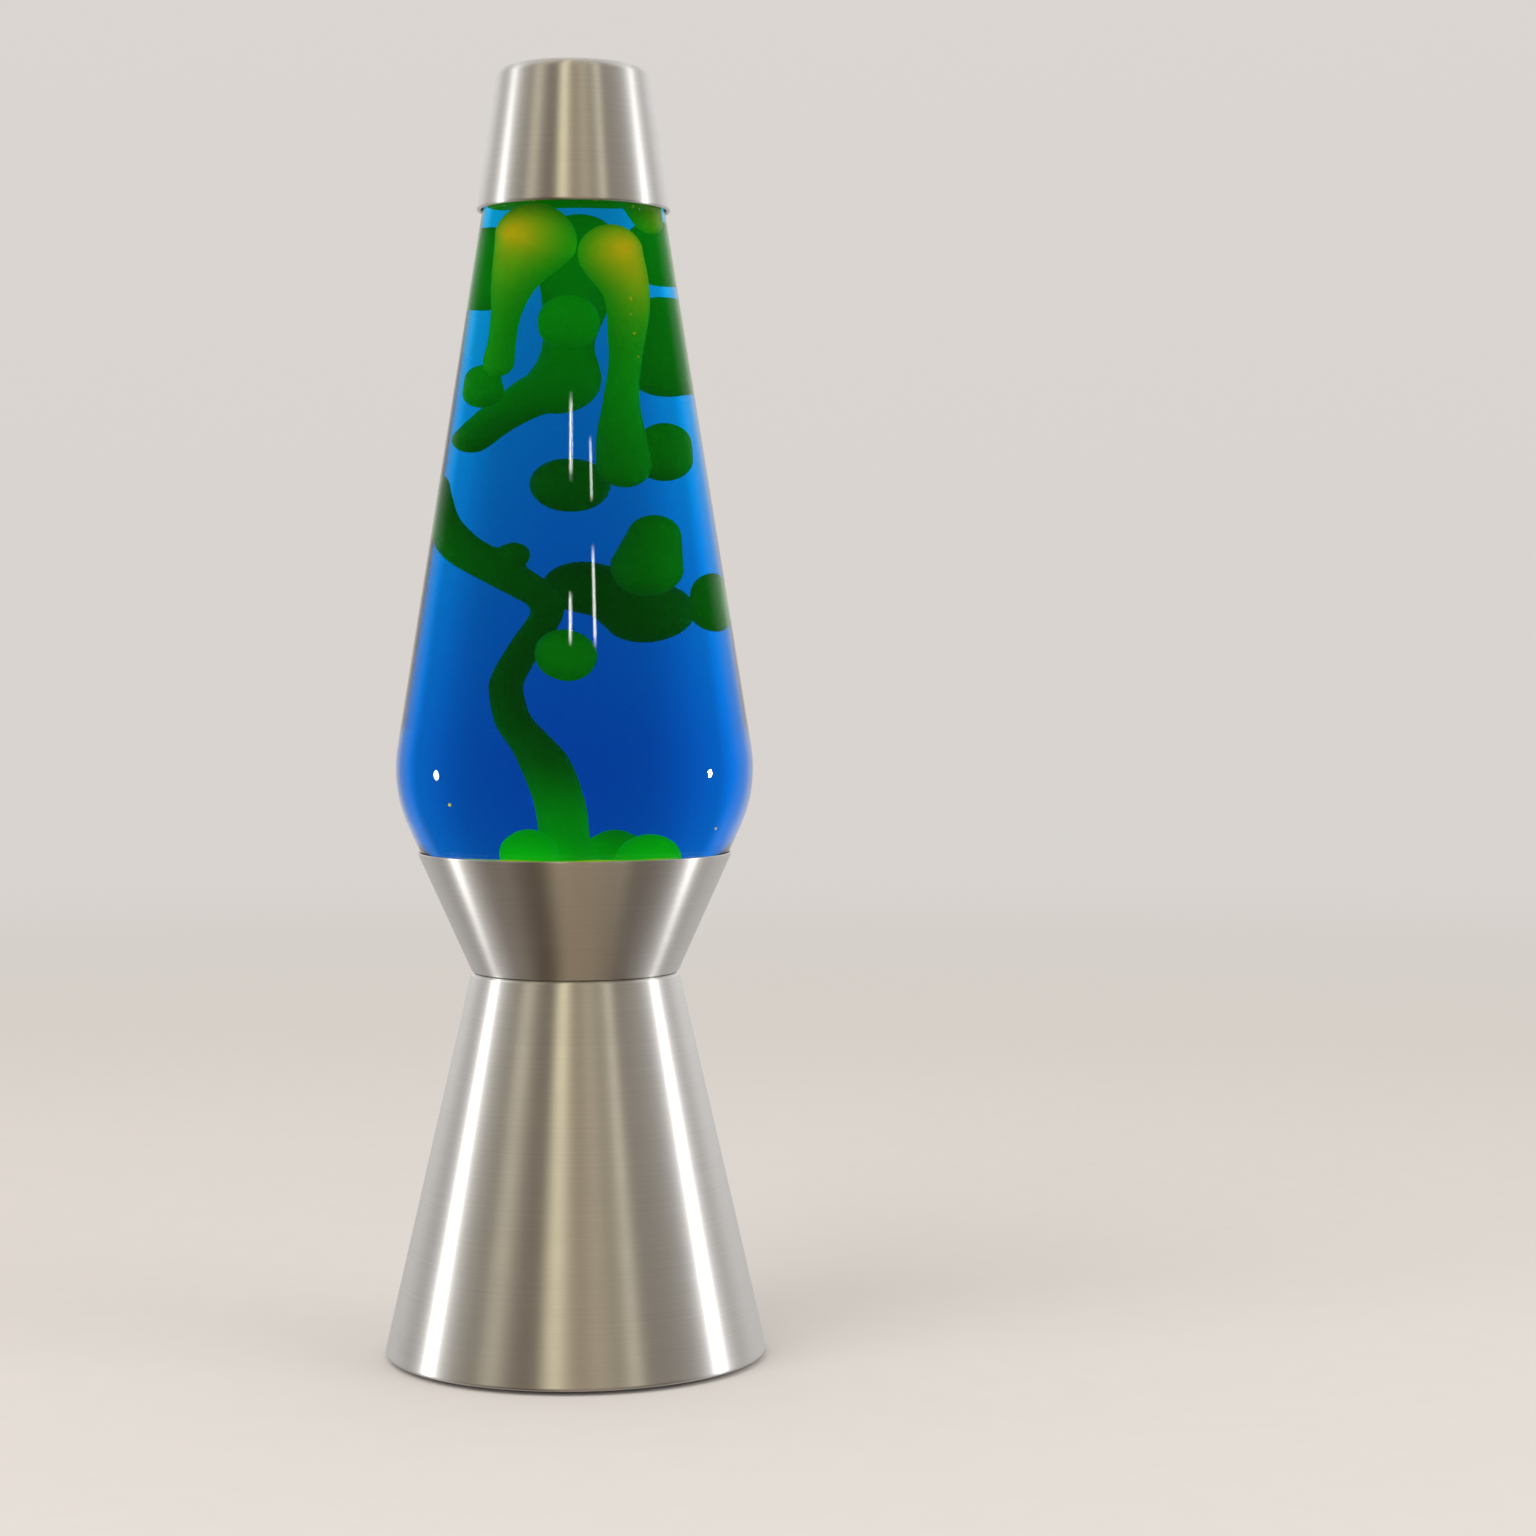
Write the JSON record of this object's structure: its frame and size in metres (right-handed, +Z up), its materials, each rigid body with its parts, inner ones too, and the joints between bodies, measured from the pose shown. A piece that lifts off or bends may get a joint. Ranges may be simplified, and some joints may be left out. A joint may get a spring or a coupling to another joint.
{
  "type": "lava lamp",
  "caption": "Table lava lamp: spun aluminium base and cap, tapered glass globe of blue liquid and yellow wax, heated by a screw-in reflector bulb.",
  "frame": {"origin": "on the lamp's axis, at the plane the feet stand on", "axes": "+Z up along the lamp's axis, -Y to the front, cord inlet at +Y"},
  "size_m": [0.2044, 0.2046, 0.6858],
  "materials": {
    "spun_aluminium": "spun, satin, lightly scratched",
    "black_steel": "matt black paint",
    "zinc_steel": "zinc plated",
    "black_rubber": "matt",
    "porcelain": "glazed white",
    "brass": "plain",
    "bulb_glass": "clear, silvered flanks",
    "tungsten": "dull",
    "bulb_insulator": "black glass",
    "clear_glass": "clear, polished",
    "blue_liquid": "clear dyed liquid",
    "wax": "smooth, translucent",
    "closure_metal": "tinned, satin",
    "closure_liner": "matt"
  },
  "bodies": {
    "base": {"base_skirt": "spun_aluminium", "globe_cup": "spun_aluminium", "bottom_plate": "black_steel", "cord_grommet": "black_rubber", "socket_bracket": "zinc_steel", "socket_body": "porcelain", "socket_screw_shell": "brass", "socket_centre_contact": "brass", "foot_1": "black_rubber", "foot_2": "black_rubber", "foot_3": "black_rubber", "foot_4": "black_rubber", "waist_screw_1": "zinc_steel", "waist_screw_2": "zinc_steel", "waist_screw_3": "zinc_steel", "waist_nut_1": "zinc_steel", "waist_nut_2": "zinc_steel", "waist_nut_3": "zinc_steel", "socket_screw_1": "zinc_steel", "socket_screw_2": "zinc_steel", "terminal_screw_1": "brass", "terminal_screw_2": "brass"},
    "bulb_foot": {"bulb_contact": "brass"},
    "bulb": {"bulb_glass": "bulb_glass", "bulb_stem": "bulb_glass", "filament": "tungsten", "bulb_screw_shell": "brass", "bulb_insulator": "bulb_insulator"},
    "globe": {"globe_glass": "clear_glass", "masking_liquid": "blue_liquid", "heating_coil": "zinc_steel", "globe_closure": "closure_metal", "closure_liner": "closure_liner", "wax_pool": "wax", "wax_crown": "wax", "wax_drop_left": "wax", "wax_drop_right": "wax", "wax_drop_middle": "wax", "wax_drop_far_left": "wax", "wax_drop_far_right": "wax", "wax_drop_back": "wax", "wax_blob_high_middle": "wax", "wax_blob_high_right": "wax", "wax_blob_high_left": "wax", "wax_blob_middle": "wax", "wax_blob_low_back": "wax", "wax_blob_low_right": "wax", "wax_blob_low_front": "wax", "wax_blob_side": "wax"},
    "cap": {"top_cap": "spun_aluminium"}
  },
  "joints": [
    {"name": "globe_lift", "type": "slide", "parent": "base", "child": "globe", "axis": [0, 0, 1], "range_m": [0, 0.15]},
    {"name": "cap_lift", "type": "slide", "parent": "globe", "child": "cap", "axis": [0, 0, 1], "range_m": [0, 0.1]},
    {"name": "bulb_rise", "type": "slide", "parent": "base", "child": "bulb_foot", "axis": [0, 0, 1], "range_m": [0, 0.0109]},
    {"name": "bulb_turn", "type": "hinge", "parent": "bulb_foot", "child": "bulb", "pos_m": [0, 0, 0.0995], "axis": [0, 0, 1], "range_deg": [0, 1080]}
  ],
  "couplings": [
    {"joint": "bulb_rise", "follows": "bulb_turn", "m_per_rad": 0.00057773}
  ]
}
